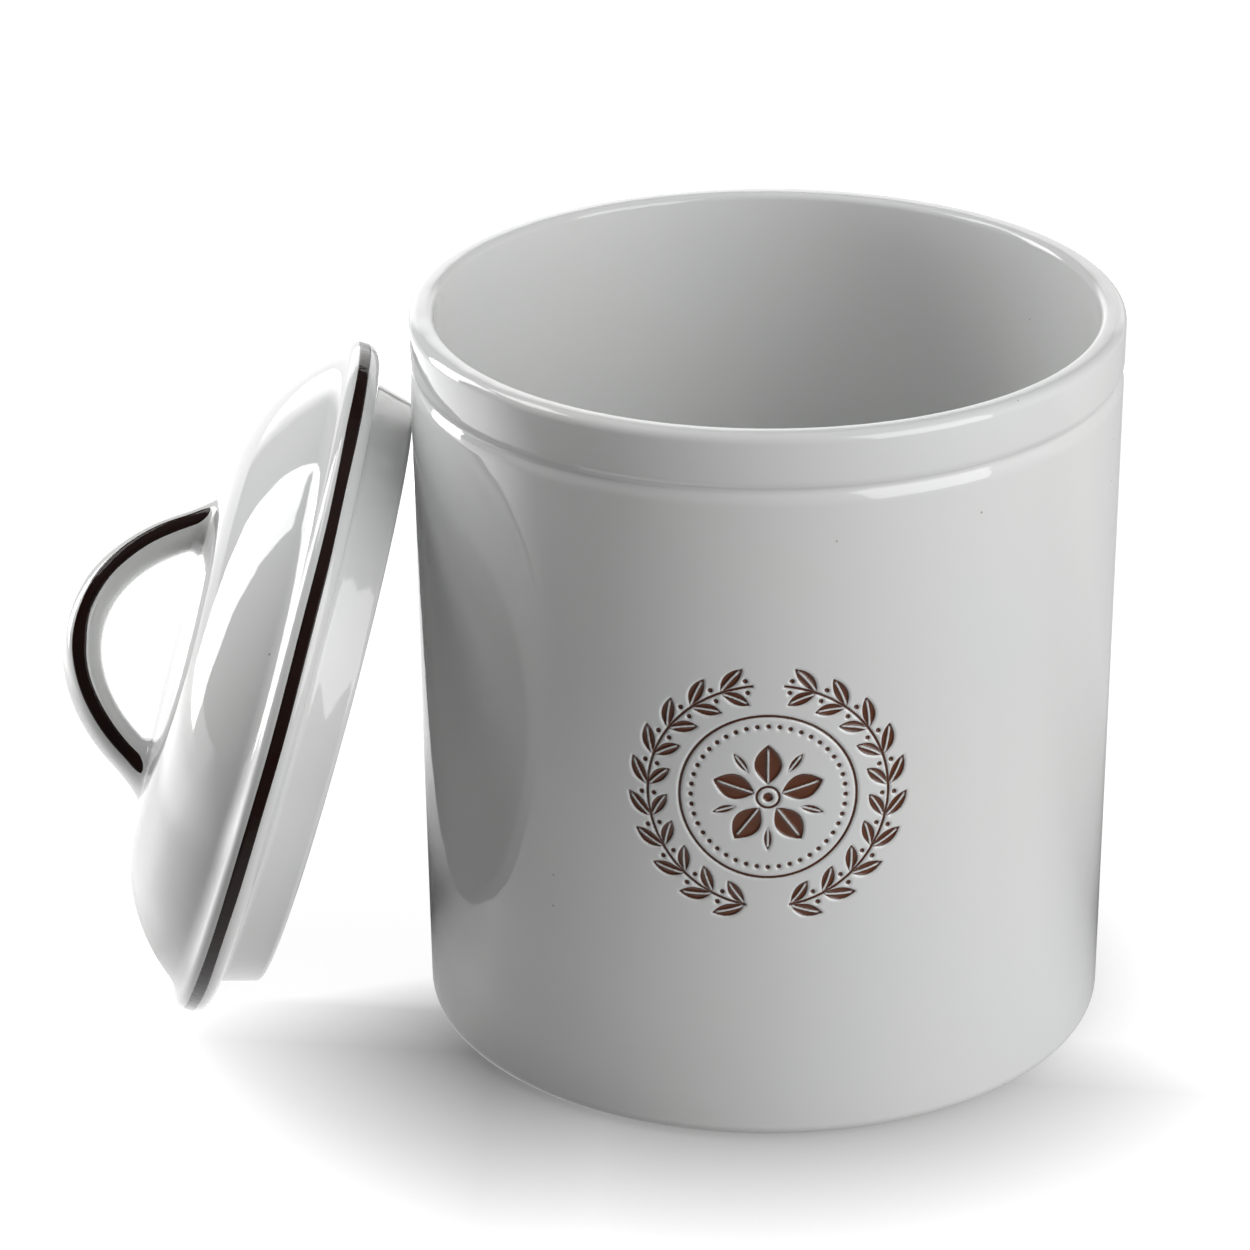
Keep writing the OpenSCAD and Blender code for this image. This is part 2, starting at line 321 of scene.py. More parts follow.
def fold_round(u, v, count):
    """Radius, and angle from the middle line of the nearest of count equal sectors."""
    sector = 2 * np.pi / count
    angle = np.arctan2(u, v) / sector + 0.5
    angle = (angle - np.floor(angle) - 0.5) * sector
    return length_of(u, v), angle


def star(u, v, start, length, width):
    """Distance to as many leaves as the flower has petals, each from radius start outwards."""
    radius, angle = fold_round(u, v, PETALS)
    return leaf(radius * np.cos(angle) - start, radius * np.sin(angle), length, width)


def flower(u, v):
    """Distance to a star flower with five ribbed petals, a ringed eye and small marks between."""
    petals = star(u, v, PETAL_FROM, PETAL_L, PETAL_W)
    marks = star(u, -1 * v, MARK_FROM, MARK_L, MARK_W)
    radius = length_of(u, v)
    eye = np.minimum(abs(radius - EYE_RING_R) - EYE_RING_HALF, radius - EYE_R)
    return np.minimum(np.minimum(petals, eye), marks)


def ornament(u, v):
    """Distance to the whole ornament, in millimetres, from its middle: under 0 is inside."""
    radius, angle = fold_round(u, v, DOTS)
    ring = abs(radius - RING_R) - RING_HALF
    dots = length_of(radius * angle, radius - DOTS_R) - DOT_R
    rings = np.minimum(ring, dots)
    return np.minimum(np.minimum(wreath(u, v), flower(u, v)), rings)


# %% [markdown]
# Both uses of the formula measure from the ornament's middle, which stands a little below half the
# bin's height. Its small turn to the right was found with the camera's fit.

# %% The ornament's place
ORNAMENT_ANGLE = 0.62
ORNAMENT_Z = 117.5
ORNAMENT_R = 44.5
CHECK_TICKS = 400

ticks = np.linspace(-ORNAMENT_R, ORNAMENT_R, CHECK_TICKS)
u_grid, v_grid = np.meshgrid(ticks, ticks)
inked = (ornament(u_grid, v_grid) < 0).mean()
print("share of the ornament's square that is brown:", round(float(inked), 3))

# %% [markdown]
# ## The bin
#
# The bin is the profile turned round its axis. Where the ornament is, rows and columns lie close
# together, under half a millimetre apart, so that its edges are real steps in the glaze that
# catch the light. Elsewhere they are further apart. A soft step turns the distance into a depth.

# %% Turn the bin and press the ornament in
FINE_STEP = 0.46
COARSE_STEP = 12
COARSE_COLUMNS = 110
PRESS_DEPTH = 0.85
TOUCHING = 0.01
WALL_R = wall_radius(ORNAMENT_Z)

half_turn = ORNAMENT_R / WALL_R
middle_turn = np.radians(ORNAMENT_ANGLE)
fine_count = int(2 * ORNAMENT_R / FINE_STEP)
fine_angles = middle_turn + np.linspace(-half_turn, half_turn, fine_count)
coarse_angles = middle_turn + np.linspace(half_turn, 2 * np.pi - half_turn, COARSE_COLUMNS)[1:-1]
bin_angles = np.concatenate([fine_angles, coarse_angles])

fine_z = np.linspace(ORNAMENT_Z - ORNAMENT_R, ORNAMENT_Z + ORNAMENT_R, fine_count)
fine_wall = np.stack([wall_radius(fine_z), fine_z], axis=-1)
bin_profile = np.concatenate([
    fill_steps(lower_profile, COARSE_STEP), fine_wall, fill_steps(upper_profile, COARSE_STEP),
    fill_steps(inner_profile, COARSE_STEP),
])


def soft_step(x):
    """0 below x = 0, 1 above x = 1, with a smooth rise between."""
    x = np.clip(x, 0, 1)
    return x * x * (3 - 2 * x)


def pressed(rings, angles):
    """The rings with the ornament sunk into the outside wall."""
    around = (angles + np.pi - middle_turn) % (2 * np.pi) - np.pi
    u = np.broadcast_to(around * WALL_R, rings.shape[:2])
    v = rings[..., 2] - ORNAMENT_Z
    radius = np.hypot(rings[..., 0], rings[..., 1])
    off_wall = abs(radius - wall_radius(rings[..., 2]))
    on_wall = (off_wall < TOUCHING) & (abs(u) < ORNAMENT_R)
    depth = PRESS_DEPTH * soft_step(0.5 - ornament(u, v) / PRESS_DEPTH) * on_wall
    shrink = 1 - depth / radius
    return rings * np.stack([shrink, shrink, np.ones_like(shrink)], axis=-1)


bin_rings = pressed(turned(bin_profile, bin_angles), bin_angles)
bin_pot = mesh_from_rings("bin_pot", bin_rings, (0, 0, base_z), (0, 0, FLOOR_TOP))
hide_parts("bin_body")
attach(bin_pot, "bin")
print("deepest press:", PRESS_DEPTH, "mm over", fine_count, "fine columns")

# %% [markdown]
# ## The lid's sizes and its lean
#
# The lid is worked out in its own frame: its axis is Z, and height 0 is the middle of the flange's
# edge. A shoulder arc and a wide crown arc make the dome. The flange's edge is rounded to a set
# angle, and there a wide hollow begins that runs up into the shoulder: its circle touches both.
# Below, the collar that drops into the mouth narrows a little. In the photograph the lid stands on
# its edge and leans, which is one turn, one tilt and one shift of all its points.

# %% The lid's profile
FLANGE_R = 109.5
EDGE_ROUND = 4
OVER_T = 4.8
UNDER_T = 5.7
DOME_H = 33.7
CROWN_H = 2.2
SHOULDER_R = 61
FLARE_R = 12
FLARE_TURN = np.radians(74)
LID_WALL = 6
COLLAR_R = 98.2
COLLAR_LOW_R = 95.7
COLLAR_LOW_Z = -19.7
COLLAR_ROUND = 2
BORE_R = 90.7
SEAM_FILLET = 2.6
NEAR_AXIS = 89.9

land_r = FLANGE_R - EDGE_ROUND
shoulder_cz = DOME_H - CROWN_H - SHOULDER_R
flare_cr = land_r + (EDGE_ROUND + FLARE_R) * np.cos(FLARE_TURN)
flare_cz = OVER_T - EDGE_ROUND + (EDGE_ROUND + FLARE_R) * np.sin(FLARE_TURN)
shoulder_cr = flare_cr - np.sqrt((SHOULDER_R + FLARE_R) ** 2 - (flare_cz - shoulder_cz) ** 2)
flare_angle = np.degrees(np.arctan2(flare_cz - shoulder_cz, flare_cr - shoulder_cr))
shoulder_top = CROWN_H + SHOULDER_R
crown_r = (shoulder_cr**2 + shoulder_top**2 - SHOULDER_R**2) / (2 * CROWN_H)
crown_cz = DOME_H - crown_r
crown_angle = np.degrees(np.arctan2(shoulder_cz - crown_cz, shoulder_cr))
bore_angle = np.degrees(np.arccos((BORE_R - shoulder_cr) / (SHOULDER_R - LID_WALL)))
low_round = COLLAR_ROUND / 2


def dome_height(radius):
    """Height of the dome's outside at a distance from its axis: crown inside, shoulder outside."""
    crown = crown_cz + np.sqrt(crown_r**2 - radius**2)
    rest = np.maximum(SHOULDER_R**2 - (radius - shoulder_cr) ** 2, 0)
    shoulder = shoulder_cz + np.sqrt(rest)
    return np.where(radius < crown_r * np.cos(np.radians(crown_angle)), crown, shoulder)


lid_profile = np.concatenate([
    arc(0, crown_cz, crown_r - LID_WALL, NEAR_AXIS, crown_angle, 14),
    arc(shoulder_cr, shoulder_cz, SHOULDER_R - LID_WALL, crown_angle, bore_angle, 30)[1:],
    arc(BORE_R + low_round, COLLAR_LOW_Z + low_round, low_round, 180, 270, 7),
    arc(COLLAR_LOW_R - COLLAR_ROUND, COLLAR_LOW_Z + COLLAR_ROUND, COLLAR_ROUND, -90, 0, 9),
    arc(COLLAR_R + SEAM_FILLET, -UNDER_T - SEAM_FILLET, SEAM_FILLET, 180, 90, 7),
    arc(land_r, EDGE_ROUND - UNDER_T, EDGE_ROUND, -90, 0, 12),
    arc(land_r, OVER_T - EDGE_ROUND, EDGE_ROUND, 0, np.degrees(FLARE_TURN), 12),
    arc(flare_cr, flare_cz, FLARE_R, np.degrees(FLARE_TURN) - 180, flare_angle - 180, 16)[1:],
    arc(shoulder_cr, shoulder_cz, SHOULDER_R, flare_angle, crown_angle, 44)[1:],
    arc(0, crown_cz, crown_r, crown_angle, NEAR_AXIS, 14)[1:],
])
print("dome shoulder circle at radius", round(float(shoulder_cr), 1), "crown radius",
      round(float(crown_r)))

# %% [markdown]
# ## The leaning lid
#
# One function carries points from the lid's frame to the table: tilt about Y, a small turn about
# Z, then the shift to the place where the flange touches the table and the collar touches the bin.

# %% Turn the lid and lean it
LEAN = np.radians(16.7)
LID_TURN = np.radians(1.9)
LID_AT = np.array([-155.869, 3, 105.539])
LID_COLUMNS = 360
LID_STEP = 6


def leaned(points):
    """Points of the lid's own frame, moved to where the lid leans."""
    x, y, z = np.moveaxis(points, -1, 0)
    out = x * np.sin(LEAN) - z * np.cos(LEAN)
    up = x * np.cos(LEAN) + z * np.sin(LEAN)
    turned_x = out * np.cos(LID_TURN) - y * np.sin(LID_TURN)
    turned_y = out * np.sin(LID_TURN) + y * np.cos(LID_TURN)
    return np.stack([turned_x, turned_y, up], axis=-1) + LID_AT


def full_turn(count):
    """A full turn in equal steps of angle, without the last, which is the first again."""
    return np.linspace(0, 2 * np.pi, count + 1)[:-1]


lid_rings = leaned(turned(fill_steps(lid_profile, LID_STEP), full_turn(LID_COLUMNS)))
inner_top, outer_top = leaned(np.array([[0, 0, DOME_H - LID_WALL], [0, 0, DOME_H]]))
lid_pot = mesh_from_rings("lid_pot", lid_rings, inner_top, outer_top)
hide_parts("lid_dome", "lid_collar")
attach(lid_pot, "lid")
print("lowest point of the lid, mm:", round(float(lid_rings[..., 2].min()), 2))

# %% [markdown]
# ## The painted line on the lid's edge
#
# A decorator holds a loaded brush against the flange while the lid turns on a wheel, so the line
# has soft, slightly uneven edges and stands a touch proud, rounded by its own gloss. It is a thin
# band that follows the flange's curved edge, with both borders sunk into the glaze.

# %% A brush held by hand
WAVES = np.arange(3, 15)
noise_source = np.random.default_rng(7)


def brush_wander(angles, size):
    """A slow wander of a hand-held brush: a few waves with random phases, size at the most."""
    phase = noise_source.uniform(0, 2 * np.pi, len(WAVES))
    height = noise_source.normal(0, 1, len(WAVES)) / WAVES
    total = (height[:, None] * np.sin(WAVES[:, None] * angles + phase[:, None])).sum(0)
    return size * total / abs(height).sum()


# %% [markdown]
# The band's outer side swells like a very flat loaf: 1 - x to the sixth power stays near 1 over
# most of the width and falls off quickly at both borders. Its inner side lies under the glaze.

# %% Lay the brush line round the flange
LINE_W = 3.9
LINE_COLUMNS = 720
LINE_POINTS = 15
EDGE_WANDER = 0.35
PAINT_PROUD = 0.12
BORDER_SUNK = 0.06
BACK_SUNK = 0.4
SWELL_POWER = 6

straight_middle = (OVER_T - UNDER_T) / 2
straight_half = (OVER_T + UNDER_T) / 2 - EDGE_ROUND


def flange_radius(height):
    """Radius of the flange's edge at a height near 0: its two roundings with a straight between."""
    past = np.maximum(abs(height - straight_middle) - straight_half, 0)
    return land_r + np.sqrt(EDGE_ROUND**2 - past**2)


line_angles = full_turn(LINE_COLUMNS)
upper_edge = LINE_W / 2 + brush_wander(line_angles, EDGE_WANDER)
lower_edge = -LINE_W / 2 + brush_wander(line_angles, EDGE_WANDER)
across = np.linspace(0, 1, LINE_POINTS)[:, None]
heights = lower_edge + (upper_edge - lower_edge) * across
swell = np.sqrt(np.maximum(1 - (2 * across - 1) ** SWELL_POWER, 0))
outer = flange_radius(heights) - BORDER_SUNK + (PAINT_PROUD + BORDER_SUNK) * swell
inner = flange_radius(heights[::-1]) - BACK_SUNK
band_r = np.concatenate([outer, inner])
band_h = np.concatenate([heights, heights[::-1]])
band = np.stack([band_r * np.sin(line_angles), -band_r * np.cos(line_angles), band_h], axis=-1)
print("the line's width, mm:", round(float((upper_edge - lower_edge).min()), 2), "to",
      round(float((upper_edge - lower_edge).max()), 2))

# %% [markdown]
# The band is a ring all round and its section is a ring too. So this grid closes both ways, like
# a tyre's, and needs no caps. It gets a helper of its own.

# %% Make a mesh from a grid that closes both ways


def mesh_from_torus(name, grid):
    """A mesh of a grid that closes in both directions, of shape (rows, columns, 3), in mm."""
    rows, columns = grid.shape[:2]
    here = np.arange(rows * columns).reshape(rows, columns)
    right = np.roll(here, -1, axis=1)
    above = np.roll(here, -1, axis=0)
    corner = np.roll(above, -1, axis=1)
    faces = np.stack([here, right, corner, above], axis=-1).reshape(-1, 4)
    mesh = bpy.data.meshes.new(name)
    mesh.from_pydata((grid.reshape(-1, 3) / 1000).tolist(), [], faces.tolist())
    mesh.polygons.foreach_set("use_smooth", np.ones(len(faces), bool))
    mesh.update()
    piece = bpy.data.objects.new(name, mesh)
    bpy.context.scene.collection.objects.link(piece)
    print(f"{name}: {rows * columns} points, {2 * len(faces)} triangles")
    return piece


edge_paint = mesh_from_torus("edge_paint", leaned(band))
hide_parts("edge_line")
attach(edge_paint, "lid")

# %% [markdown]
# ## The strap handle
#
# The handle is a strap of clay, pulled by hand to an oval section, bent into an arch and pressed
# onto the dome, where the thumb spreads it into a small foot. It could be a bevelled curve, but
# such a curve can't spread or follow the dome. So it is a loft: an oval carried along half an
# ellipse, and below each end rings that slide down the strap's own direction until they lie on
# the dome, growing outwards like a quarter circle on the way.

# %% The arch, its section and its feet
ARCH_A = 48
ARCH_B = 66.4
ARCH_SINK = 4.2
ARCH_SHIFT = 0.8
STRAP_T = 12.4
STRAP_W = 24
ROOT_H = 7
ROOT_FLARE = 2.9
OVAL_POWER = 2.3
HANDLE_TURN = np.radians(33.4)
FIRST_GUESS = np.radians(30)
ROUNDS = 12


def arch_point(a):
    """A point of the strap's middle line: half an ellipse, at angle a in radians."""
    level = np.zeros_like(a)
    return np.stack([ARCH_A * np.cos(a) + ARCH_SHIFT, level, ARCH_B * np.sin(a) - ARCH_SINK], -1)


def arch_along(a):
    """The unit direction in which the middle line runs."""
    step = np.stack([-ARCH_A * np.sin(a), np.zeros_like(a), ARCH_B * np.cos(a)], axis=-1)
    return step / np.linalg.norm(step, axis=-1, keepdims=True)


def arch_out(a):
    """The unit direction that points away from the arch's middle."""
    away = np.stack([ARCH_B * np.cos(a), np.zeros_like(a), ARCH_A * np.sin(a)], axis=-1)
    return away / np.linalg.norm(away, axis=-1, keepdims=True)


def oval(value):
    """One side of an oval that is a little squarer than an ellipse."""
    return np.sign(value) * abs(value) ** (2 / OVAL_POWER)


def strap_surface(a, f, grow=0.0):
    """Points of the strap at arch angles a and section angles f, spread outwards by grow mm."""
    thick = oval(np.cos(f)) * (STRAP_T / 2 + grow)
    wide = oval(np.sin(f)) * (STRAP_W / 2 + grow)
    side = np.stack([np.zeros_like(wide), wide, np.zeros_like(wide)], axis=-1)
    return arch_point(a) + arch_out(a) * thick[..., None] + side


def start_angle(side):
    """Arch angle, from the foot on one side, whose middle line is ROOT_H above the dome.

    The dome's height there depends on the angle again, so the sum is repeated until it settles.
    """
    a = FIRST_GUESS
    for _ in range(ROUNDS):
        over = dome_height(abs(ARCH_A * np.cos(a) + side * ARCH_SHIFT))
        a = np.arcsin((over + ROOT_H + ARCH_SINK) / ARCH_B)
    return float(a)


def drop_to_dome(points, direction):
    """Points slid back along a direction until they lie on the dome's outside."""
    for _ in range(ROUNDS):
        radius = np.hypot(points[..., 0], points[..., 1])
        over = points[..., 2] - dome_height(radius)
        points = points - direction * (over / direction[2])[..., None]
    return points


first_a = start_angle(1)
last_a = np.pi - start_angle(-1)
print("the strap leaves the dome at", round(np.degrees(first_a), 1), "and",
      round(180 - np.degrees(last_a), 1), "degrees")

# %% [markdown]
# The feet use the same section. At share s of the way down, a point has moved s of its own
# distance to the dome, and has grown by a quarter circle, 1 - sqrt(1 - s * s), so that the foot
# runs out almost flat on the dome. The last ring is sunk a little, so no light passes under it.

# %% Loft the handle
SECTION = full_turn(72)
ARCH_STEPS = 110
FOOT_STEPS = 16
SUNK = 0.35


def foot_surface(a, f, share, lift=0.0):
    """Points of the foot below arch angle a, at section angles f and shares of the way down."""
    direction = arch_along(np.array(a)) * np.sign(np.cos(a))
    angle = np.full(np.shape(f), a)
    widest = strap_surface(angle, f, ROOT_FLARE)
    reach = np.linalg.norm(widest - drop_to_dome(widest, direction), axis=-1) + SUNK
    grow = ROOT_FLARE * (1 - np.sqrt(np.maximum(1 - share**2, 0)))
    return strap_surface(angle, f, grow + lift) - direction * (share * reach)[..., None]


def foot_rings(a):
    """Rings of one foot, from the strap to the dome."""
    share = np.sin(np.linspace(0, np.pi / 2, FOOT_STEPS + 1))[1:, None]
    return foot_surface(a, np.broadcast_to(SECTION, (FOOT_STEPS, len(SECTION))), share)


arch_angles = np.linspace(first_a, last_a, ARCH_STEPS)
arch_rings = strap_surface(*np.meshgrid(arch_angles, SECTION, indexing="ij"))
foot_a, foot_b = foot_rings(first_a), foot_rings(last_a)
handle_rings = np.concatenate([foot_a[::-1], arch_rings, foot_b])


def on_lid(points):
    """Points of the handle's frame turned about the lid's axis, then leaned with the lid."""
    x, y, z = np.moveaxis(points, -1, 0)
    c, s = np.cos(HANDLE_TURN), np.sin(HANDLE_TURN)
    return leaned(np.stack([x * c - y * s, x * s + y * c, z], axis=-1))


ends = on_lid(np.stack([foot_a[-1].mean(axis=0), foot_b[-1].mean(axis=0)]))
strap = mesh_from_rings("strap_handle", on_lid(handle_rings), ends[0], ends[1])
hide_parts("lid_handle")
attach(strap, "lid")
print("finger gap under the arch, mm:",
      round(float(ARCH_B - ARCH_SINK - STRAP_T / 2 - DOME_H), 1))

# %% [markdown]
# ## The painted lines on the handle
#
# Each side of the strap has a brush line from root to root, with a round tip where the brush was
# set down and lifted. It lies on the strap's own surface, so it is made from the same formulas, on
# a narrow range of section angles, and lifted by a tenth of a millimetre. Place t runs from 0 to 1
# along the line: its first and last parts lie on the feet, and the rest on the arch.

# %% Lay the brush lines on the handle's sides
PAINT_FROM, PAINT_TO = 57, 95
STROKE_POINTS = 200
STROKE_ACROSS = 13
TIP_SHARE = 0.038
TIP_WIDTH = 0.03
FOOT_T = 0.07
FOOT_REACH = 0.84
TURN_WANDER = 1.5
WIDTH_WANDER = 0.16
STROKE_SUNK = 0.05
STROKE_BACK = 0.35


def painted(t, f, lift):
    """Points at places t along the line and section angles f, lifted off the strap."""
    on_first, on_last = t < FOOT_T, t > 1 - FOOT_T
    along = np.clip((t - FOOT_T) / (1 - 2 * FOOT_T), 0, 1)
    points = strap_surface(first_a + (last_a - first_a) * along, f, lift)
    for here, a, down in ((on_first, first_a, 1 - t / FOOT_T),
                          (on_last, last_a, 1 - (1 - t) / FOOT_T)):
        points[here] = foot_surface(a, f[here], down[here] * FOOT_REACH, lift[here])
    return points


def strap_paint(name, side):
    """A thin closed loft on one side of the strap, narrowed to a round tip at both ends."""
    t = np.linspace(0, 1, STROKE_POINTS)
    near_end = np.clip(np.minimum(t, 1 - t) / TIP_SHARE, 0, 1)
    width = np.sqrt(1 - (1 - near_end) ** 2) * (1 - TIP_WIDTH) + TIP_WIDTH
    middle = (PAINT_FROM + PAINT_TO) / 2 + brush_wander(t * np.pi, TURN_WANDER)
    half = (PAINT_TO - PAINT_FROM) / 2 * width * (1 + brush_wander(t * np.pi, WIDTH_WANDER))
    share = np.linspace(-1, 1, STROKE_ACROSS)
    angle = side * np.radians(middle[:, None] + half[:, None] * share)
    place = np.broadcast_to(t[:, None], angle.shape)
    swell = np.sqrt(1 - share**SWELL_POWER) * width[:, None]
    upper = painted(place, angle, (PAINT_PROUD + STROKE_SUNK) * swell - STROKE_SUNK)
    lower = painted(place, angle, np.full(angle.shape, -STROKE_BACK))[:, ::-1]
    rings = np.concatenate([upper, lower], axis=1)
    rings = rings if side < 0 else rings[:, ::-1]
    caps = on_lid(rings[[0, -1]].mean(axis=1))
    return mesh_from_rings(name, on_lid(rings), caps[0], caps[1])


for name, side, node in (("handle_paint_front", -1, "handle_line_front"),
                         ("handle_paint_back", 1, "handle_line_back")):
    paint = strap_paint(name, side)
    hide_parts(node)
    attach(paint, "lid")

# %% [markdown]
# ## Writing shader maths as sums
#
# A material is a graph of nodes, which soon becomes hard to follow in code. The small class below
# wraps one output socket. numpy's mixin gives it every operator, also reflected ones such as
# 1 - mask, and numpy's functions know it too: each adds one Math node. That is why the
# ornament's formula above can be used for the colour just as it stands.

# %% Wires: sockets that can be reckoned with
MATHS = {
    "add": "ADD", "subtract": "SUBTRACT", "multiply": "MULTIPLY", "divide": "DIVIDE",
    "sqrt": "SQRT", "absolute": "ABSOLUTE", "minimum": "MINIMUM", "maximum": "MAXIMUM",
    "floor": "FLOOR", "sin": "SINE", "cos": "COSINE", "arctan2": "ARCTAN2",
    "less": "LESS_THAN", "greater": "GREATER_THAN",
}


class Wire(np.lib.mixins.NDArrayOperatorsMixin):
    """One output socket of a material. Sums on wires add Math nodes, and node() adds any other."""

    def __init__(self, tree, socket=None):
        self.tree = tree
        self.socket = socket

    def __array_ufunc__(self, function, method, *terms, **_):
        settings = {"operation": MATHS[function.__name__]}
        return self.node("ShaderNodeMath", settings, dict(enumerate(terms)))

    def node(self, kind, settings=None, inputs=None, output=0):
        """Adds a node, sets it, then gives its sockets values or wires. Returns one output."""
        made = self.tree.nodes.new(kind)
        for key, value in (settings or {}).items():
            setattr(made, key, value)
        for key, value in (inputs or {}).items():
            if isinstance(value, Wire):
                self.tree.links.new(value.socket, made.inputs[key])
            else:
                made.inputs[key].default_value = value
        return Wire(self.tree, made.outputs[output])


# %% [markdown]
# A few helpers keep the finishes short. Each one adds a node or two that several materials need.
# All patterns read Object coordinates, so they sit still on the piece and are in real metres.

# %% Nodes that several finishes need


def object_place(bench):
    """The place on the piece, in metres."""
    return bench.node("ShaderNodeTexCoord", output=3)


def parts_of(bench, vector):
    """The three parts of a place or a direction, as three wires."""
    return [bench.node("ShaderNodeSeparateXYZ", None, {0: vector}, n) for n in range(3)]


def held(wire, low, high):
    """The wire's value, held between a lowest and a highest."""
    return np.minimum(np.maximum(wire, low), high)


def noise(bench, place, scale, detail=2.0, roughness=0.5):
    """Noise from 0 to 1 on a place, with scale in waves a metre."""
    inputs = {"Vector": place, "Scale": scale, "Detail": detail, "Roughness": roughness}
    return bench.node("ShaderNodeTexNoise", None, inputs)


def mix_colours(bench, share, first, second):
    """A colour between two, by a share from 0 to 1."""
    return bench.node("ShaderNodeMix", {"data_type": "RGBA"}, {0: share, 6: first, 7: second}, 2)


def bumped(bench, height, strength, distance):
    """A normal tipped by a height wire, where a height of 1 stands for distance in metres."""
    inputs = {"Strength": strength, "Distance": distance, "Height": height}
    return bench.node("ShaderNodeBump", None, inputs)


def new_finish(name, ior):
    """A new material with one Principled shader. Returns it, its bench and its shader."""
    material = bpy.data.materials.new(name)
    material.use_nodes = True
    shader = material.node_tree.nodes["Principled BSDF"]
    shader.inputs["IOR"].default_value = ior
    return material, Wire(material.node_tree), shader


def feed(bench, shader, **wires):
    """Links wires to the shader's sockets. An underscore in a name stands for a space."""
    for socket, wire in wires.items():
        bench.tree.links.new(wire.socket, shader.inputs[socket.replace("_", " ")])


# %% [markdown]
# ## The white glaze
#
# Tin-white glaze is glossy and nearly even. Up close it has a faint swell like orange peel, which
# makes reflections waver, slow drifts of a warmer and a cooler white where it ran thick or thin,
# and a rare dark pinhead speck from iron in the clay. The swell is a Bump, and the rest is colour
# and a little change of gloss. One function makes it, for the bin and for the lid.

# %% White glaze
GLAZE_IOR = 1.5
GLAZE_WARM = (0.785, 0.785, 0.765, 1)
GLAZE_COOL = (0.765, 0.78, 0.785, 1)
DRIFT_SCALE = 14
SPECK = (0.30, 0.22, 0.16, 1)
SPECK_CELLS = 95.0
SPECK_SIZE = 0.035
SPECK_CHANCE = 0.07
SPECK_STRENGTH = 0.7
SWELL_SCALE, SWELL_BUMP, SWELL_H = 60, 0.3, 0.0005
PEEL_SCALE, PEEL_SHARE = 420, 0.05
GLAZE_ROUGH, GLOSS_SCALE = 0.03, 35


def specks(bench, place):
    """A mask of rare specks: the middle of one cell in a few, in a foam of random cells."""
    cells = {"Vector": place, "Scale": SPECK_CELLS, "Randomness": 1.0}
    nearest = bench.node("ShaderNodeTexVoronoi", {"feature": "F1"}, cells, 0)
    chance = bench.node("ShaderNodeTexVoronoi", {"feature": "F1"}, cells, 1)
    pick = bench.node("ShaderNodeSeparateColor", None, {0: chance}, 0)
    return (nearest < SPECK_SIZE) * (pick > 1 - SPECK_CHANCE)


def white_glaze(name):
    """The white glaze. Returns the material, its bench, shader, place, colour and gloss."""
    material, bench, shader = new_finish(name, GLAZE_IOR)
    place = object_place(bench)
    colour = mix_colours(bench, noise(bench, place, DRIFT_SCALE, 3), GLAZE_WARM, GLAZE_COOL)
    colour = mix_colours(bench, specks(bench, place) * SPECK_STRENGTH, colour, SPECK)
    peel = noise(bench, place, PEEL_SCALE, 1) * PEEL_SHARE
    bump = bumped(bench, noise(bench, place, SWELL_SCALE, 1.5) + peel, SWELL_BUMP, SWELL_H)
    gloss = GLAZE_ROUGH + noise(bench, place, GLOSS_SCALE) * GLAZE_ROUGH
    feed(bench, shader, Base_Color=colour, Roughness=gloss, Normal=bump)
    return material, bench, shader, place, colour, gloss


lid_glaze = white_glaze("white_glaze_lid")[0]
for piece in (lid_pot, strap):
    piece.data.materials.append(lid_glaze)
print("nodes in the lid's glaze:", len(lid_glaze.node_tree.nodes))

# %% [markdown]
# ## The bin's glaze, with the brown ornament
#
# Brown oxide was rubbed into the pressed ornament before the glaze went on. The place on the wall
# is rolled out flat: the angle round the axis gives the distance to the side, and the height
# is as it is. Those two wires go into the ornament's own formula, and its distance becomes a mask
# that is sharp at any size. The brown is uneven, and a thin darker border lies where it pooled.

# %% White glaze with the ornament's brown
BROWN_LIGHT = (0.140, 0.042, 0.016, 1)
BROWN_DARK = (0.045, 0.009, 0.003, 1)
RAGGED_SCALE, RAGGED = 1600, 0.16
EDGE_SOFT = 0.22
SKIN = 4
POOL_EDGE, POOL_RISE = 1.1, 1.6
POOL_SHARE = 0.6
RUBBED_SCALE = 240
BROWN_ROUGH = 0.22

bin_glaze, bench, shader, place, colour, gloss = white_glaze("white_glaze_bin")
x_wire, y_wire, z_wire = parts_of(bench, place)
u_wire = (np.arctan2(x_wire, -1 * y_wire) - middle_turn) * WALL_R
v_wire = z_wire * 1000 - ORNAMENT_Z
distance = ornament(u_wire, v_wire)
ragged = distance + (noise(bench, place, RAGGED_SCALE) - 0.5) * RAGGED
outside = (x_wire * x_wire + y_wire * y_wire > ((WALL_R - SKIN) / 1000) ** 2) * (y_wire < 0)
covered = held(0.5 - ragged / EDGE_SOFT, 0, 1) * outside * (v_wire * v_wire < ORNAMENT_R**2)
pooled = held(POOL_EDGE + distance * POOL_RISE, 0, 1)
rubbed = noise(bench, place, RUBBED_SCALE)
depth = pooled * POOL_SHARE + rubbed * (1 - POOL_SHARE)
brown = mix_colours(bench, depth, BROWN_LIGHT, BROWN_DARK)
feed(bench, shader, Base_Color=mix_colours(bench, covered, colour, brown),
     Roughness=gloss + covered * BROWN_ROUGH)
bin_pot.data.materials.append(bin_glaze)
print("nodes in the bin's glaze:", len(bin_glaze.node_tree.nodes))

# %% [markdown]
# ## The brown painted lines
#
# Painted on top of the white and fired once more, the lines are almost black where the brush was
# full, with a reddish brown where it was dry, and as glossy as the glaze.

